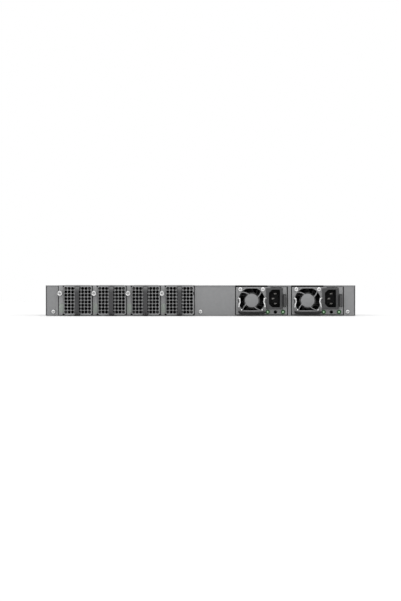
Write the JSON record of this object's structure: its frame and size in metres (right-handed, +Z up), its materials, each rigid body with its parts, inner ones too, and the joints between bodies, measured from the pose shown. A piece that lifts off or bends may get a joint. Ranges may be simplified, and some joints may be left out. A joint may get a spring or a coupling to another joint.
{
  "type": "rackmount network switch",
  "caption": "Rackmount network switch, one rack unit tall, with slide-out fan trays and power modules on one face and pluggable ports on the other.",
  "frame": {"origin": "centre of the underside of the chassis", "axes": "+Z up, -Y out of the face with the fan trays and power modules, +Y out of the port face, +X to the right seen from the fan side"},
  "size_m": [0.442, 0.4957, 0.044],
  "materials": {
    "painted_panel": "fine matt powder coat",
    "painted_module": "satin paint",
    "zinc_steel": "zinc plate",
    "screw_steel": "bright nickel plate",
    "bright_steel": "polished",
    "dark_plastic": "fine moulded texture",
    "black_plastic": "moulded",
    "circuit_board": "solder mask",
    "sink_aluminium": "extruded",
    "light_pipe": "clear green moulding"
  },
  "bodies": {
    "chassis": {"base_pan": "painted_panel", "top_cover": "painted_panel", "front_panel": "painted_panel", "fan_bay_frame": "zinc_steel", "power_bay_frame": "zinc_steel", "sfp_cage": "zinc_steel", "qsfp_cage": "zinc_steel", "console_jack": "zinc_steel", "main_board": "circuit_board", "switch_chip": "black_plastic", "heat_sink": "sink_aluminium", "power_board": "circuit_board", "rear_screw_left": "screw_steel", "rear_screw_centre": "screw_steel", "rear_screw_right": "screw_steel"},
    "tray_1": {"fan_tray_1": "painted_module", "tray_handle_1": "dark_plastic", "fan_frame_1": "black_plastic", "tray_plug_1": "black_plastic"},
    "tray_fan_1": {"fan_rotor_1": "black_plastic"},
    "tray_screw_1": {"thumbscrew_1": "screw_steel"},
    "tray_2": {"fan_tray_2": "painted_module", "tray_handle_2": "dark_plastic", "fan_frame_2": "black_plastic", "tray_plug_2": "black_plastic"},
    "tray_fan_2": {"fan_rotor_2": "black_plastic"},
    "tray_screw_2": {"thumbscrew_2": "screw_steel"},
    "tray_3": {"fan_tray_3": "painted_module", "tray_handle_3": "dark_plastic", "fan_frame_3": "black_plastic", "tray_plug_3": "black_plastic"},
    "tray_fan_3": {"fan_rotor_3": "black_plastic"},
    "tray_screw_3": {"thumbscrew_3": "screw_steel"},
    "tray_4": {"fan_tray_4": "painted_module", "tray_handle_4": "dark_plastic", "fan_frame_4": "black_plastic", "tray_plug_4": "black_plastic"},
    "tray_fan_4": {"fan_rotor_4": "black_plastic"},
    "tray_screw_4": {"thumbscrew_4": "screw_steel"},
    "psu_1": {"psu_case_1": "painted_module", "psu_lid_1": "painted_module", "psu_inlet_1": "black_plastic", "psu_board_1": "circuit_board", "psu_fan_1": "black_plastic", "psu_light_1": "light_pipe"},
    "psu_fan_1": {"psu_rotor_1": "black_plastic"},
    "psu_bail_1": {"psu_bail_1": "bright_steel", "psu_grip_1": "dark_plastic"},
    "psu_latch_1": {"psu_latch_1": "dark_plastic"},
    "psu_2": {"psu_case_2": "painted_module", "psu_lid_2": "painted_module", "psu_inlet_2": "black_plastic", "psu_board_2": "circuit_board", "psu_fan_2": "black_plastic", "psu_light_2": "light_pipe"},
    "psu_fan_2": {"psu_rotor_2": "black_plastic"},
    "psu_bail_2": {"psu_bail_2": "bright_steel", "psu_grip_2": "dark_plastic"},
    "psu_latch_2": {"psu_latch_2": "dark_plastic"},
    "reset": {"reset_button": "dark_plastic"}
  },
  "joints": [
    {"name": "tray_slide_1", "type": "slide", "parent": "chassis", "child": "tray_1", "axis": [0, -1, 0], "range_m": [0, 0.11]},
    {"name": "tray_fan_spin_1", "type": "hinge", "parent": "tray_1", "child": "tray_fan_1", "pos_m": [-0.1753, -0.22, 0.0223], "axis": [0, 1, 0], "continuous": true},
    {"name": "tray_screw_turn_1", "type": "hinge", "parent": "tray_1", "child": "tray_screw_1", "pos_m": [-0.2005, -0.235, 0.032], "axis": [0, -1, 0], "range_deg": [0, 180]},
    {"name": "tray_slide_2", "type": "slide", "parent": "chassis", "child": "tray_2", "axis": [0, -1, 0], "range_m": [0, 0.11]},
    {"name": "tray_fan_spin_2", "type": "hinge", "parent": "tray_2", "child": "tray_fan_2", "pos_m": [-0.1268, -0.22, 0.0223], "axis": [0, 1, 0], "continuous": true},
    {"name": "tray_screw_turn_2", "type": "hinge", "parent": "tray_2", "child": "tray_screw_2", "pos_m": [-0.152, -0.235, 0.032], "axis": [0, -1, 0], "range_deg": [0, 180]},
    {"name": "tray_slide_3", "type": "slide", "parent": "chassis", "child": "tray_3", "axis": [0, -1, 0], "range_m": [0, 0.11]},
    {"name": "tray_fan_spin_3", "type": "hinge", "parent": "tray_3", "child": "tray_fan_3", "pos_m": [-0.0783, -0.22, 0.0223], "axis": [0, 1, 0], "continuous": true},
    {"name": "tray_screw_turn_3", "type": "hinge", "parent": "tray_3", "child": "tray_screw_3", "pos_m": [-0.1035, -0.235, 0.032], "axis": [0, -1, 0], "range_deg": [0, 180]},
    {"name": "tray_slide_4", "type": "slide", "parent": "chassis", "child": "tray_4", "axis": [0, -1, 0], "range_m": [0, 0.11]},
    {"name": "tray_fan_spin_4", "type": "hinge", "parent": "tray_4", "child": "tray_fan_4", "pos_m": [-0.0298, -0.22, 0.0223], "axis": [0, 1, 0], "continuous": true},
    {"name": "tray_screw_turn_4", "type": "hinge", "parent": "tray_4", "child": "tray_screw_4", "pos_m": [-0.055, -0.235, 0.032], "axis": [0, -1, 0], "range_deg": [0, 180]},
    {"name": "psu_slide_1", "type": "slide", "parent": "chassis", "child": "psu_1", "axis": [0, -1, 0], "range_m": [0, 0.2]},
    {"name": "psu_fan_spin_1", "type": "hinge", "parent": "psu_1", "child": "psu_fan_1", "pos_m": [0.0735, -0.22, 0.0219], "axis": [0, 1, 0], "continuous": true},
    {"name": "psu_bail_swing_1", "type": "hinge", "parent": "psu_1", "child": "psu_bail_1", "pos_m": [0.0735, -0.2366, 0.025], "axis": [-1, 0, 0], "range_deg": [0, 90]},
    {"name": "psu_latch_press_1", "type": "hinge", "parent": "psu_1", "child": "psu_latch_1", "pos_m": [0.12215, -0.195, 0.0215], "axis": [0, 0, -1], "range_deg": [0, 0.9]},
    {"name": "psu_slide_2", "type": "slide", "parent": "chassis", "child": "psu_2", "axis": [0, -1, 0], "range_m": [0, 0.2]},
    {"name": "psu_fan_spin_2", "type": "hinge", "parent": "psu_2", "child": "psu_fan_2", "pos_m": [0.1534, -0.22, 0.0219], "axis": [0, 1, 0], "continuous": true},
    {"name": "psu_bail_swing_2", "type": "hinge", "parent": "psu_2", "child": "psu_bail_2", "pos_m": [0.1534, -0.2366, 0.025], "axis": [-1, 0, 0], "range_deg": [0, 90]},
    {"name": "psu_latch_press_2", "type": "hinge", "parent": "psu_2", "child": "psu_latch_2", "pos_m": [0.20205, -0.195, 0.0215], "axis": [0, 0, -1], "range_deg": [0, 0.9]},
    {"name": "reset_press", "type": "slide", "parent": "chassis", "child": "reset", "axis": [0, -1, 0], "range_m": [0, 0.0008]}
  ]
}
